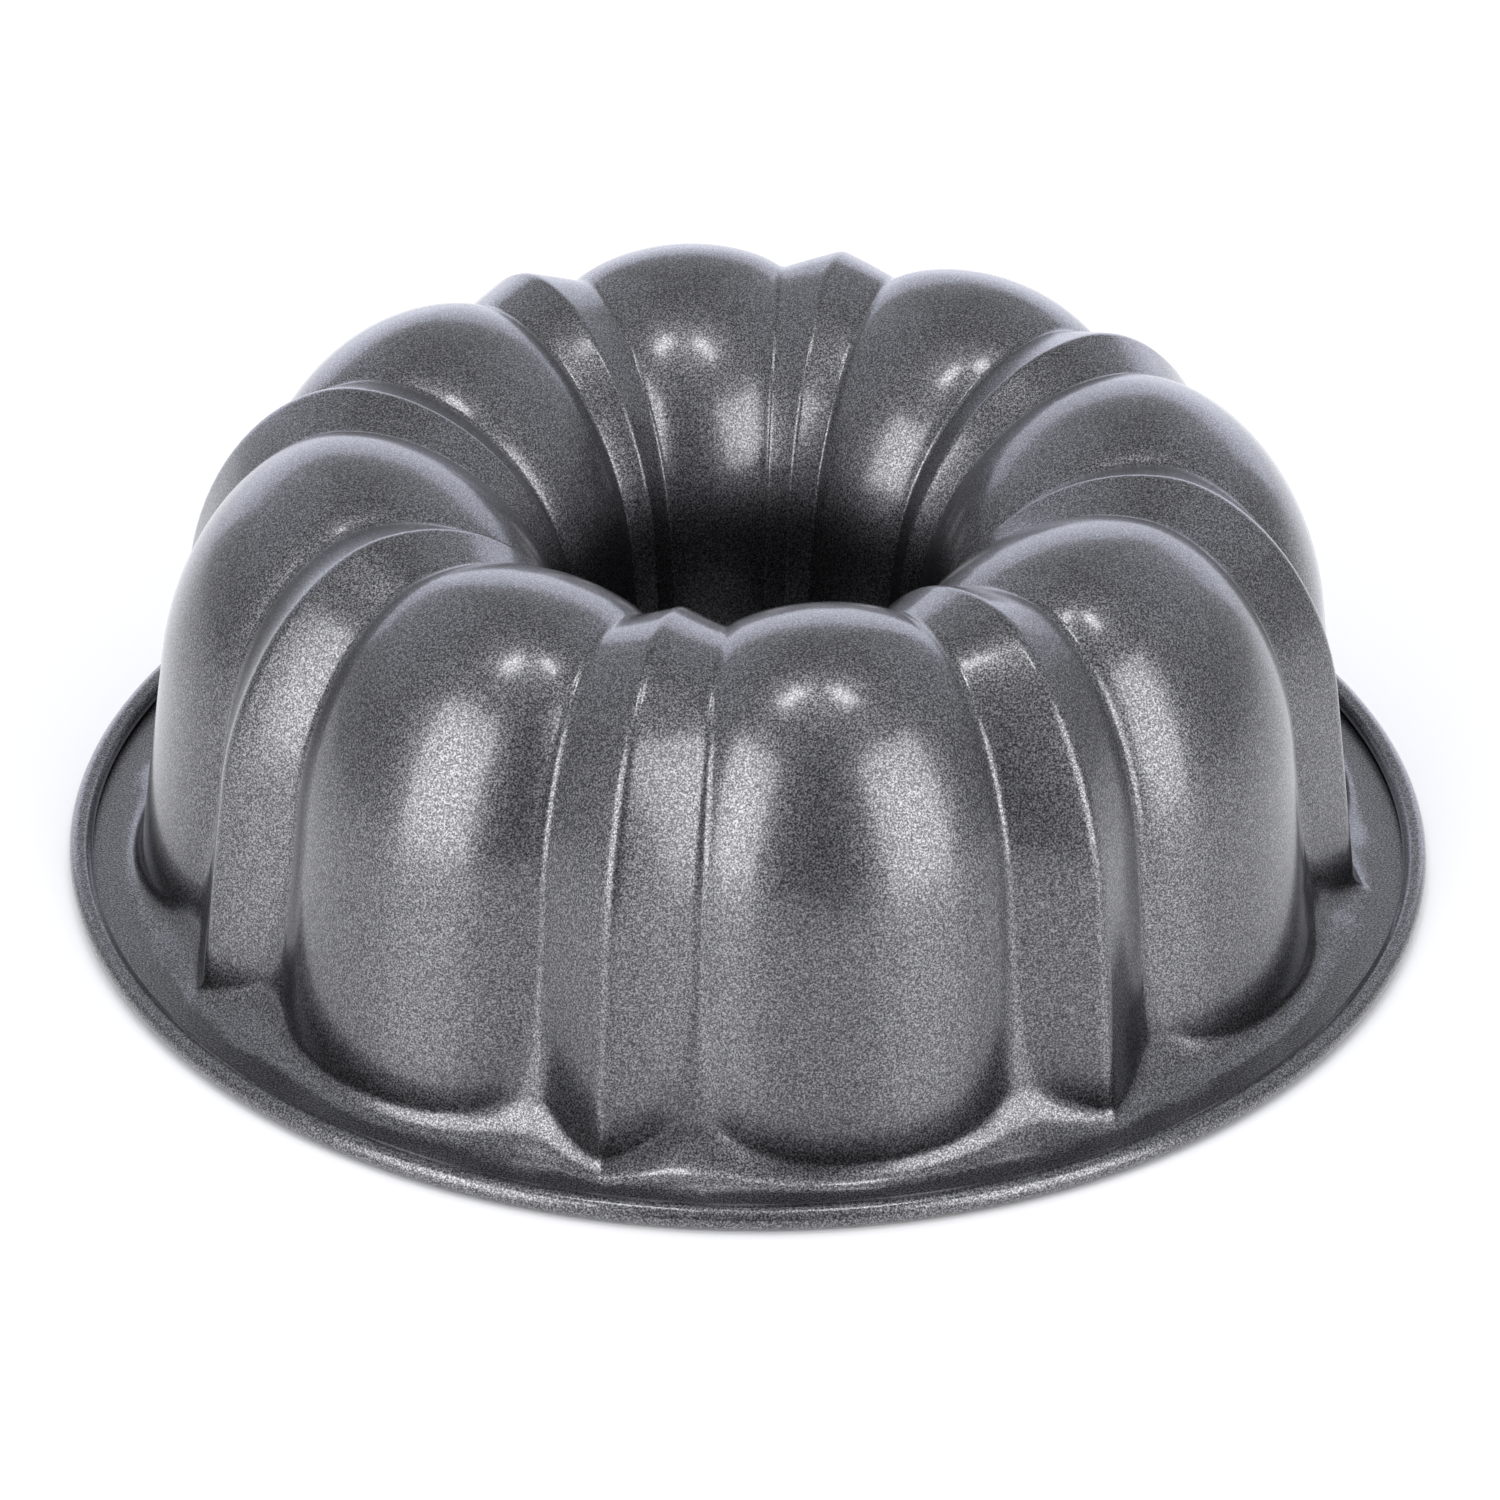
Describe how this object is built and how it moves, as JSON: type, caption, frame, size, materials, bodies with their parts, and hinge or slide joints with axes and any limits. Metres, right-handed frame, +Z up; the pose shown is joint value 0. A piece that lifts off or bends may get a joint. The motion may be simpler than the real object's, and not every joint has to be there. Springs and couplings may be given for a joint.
{
  "type": "fluted ring cake pan",
  "caption": "Fluted ring cake pan with an open centre tube and a wired rim, pressed from coated steel and lying upside down on its rim.",
  "frame": {"origin": "middle of the plane that the rim rests on, with the pan upside down", "axes": "+Z up through the centre tube towards the crown; -Y is the front"},
  "size_m": [0.27, 0.27, 0.088],
  "materials": {
    "steel_sheet": "cold-rolled, bare at its cut edges",
    "steel_wire": "drawn, bare",
    "release_coating": "semi-gloss dark grey with a fine silver fleck",
    "outside_coating": "semi-gloss dark grey with a fine silver fleck"
  },
  "bodies": {
    "root": {"steel_shell": "steel_sheet", "rim_wire": "steel_wire", "food_side_coating": "release_coating", "outer_coating": "outside_coating"}
  },
  "joints": []
}
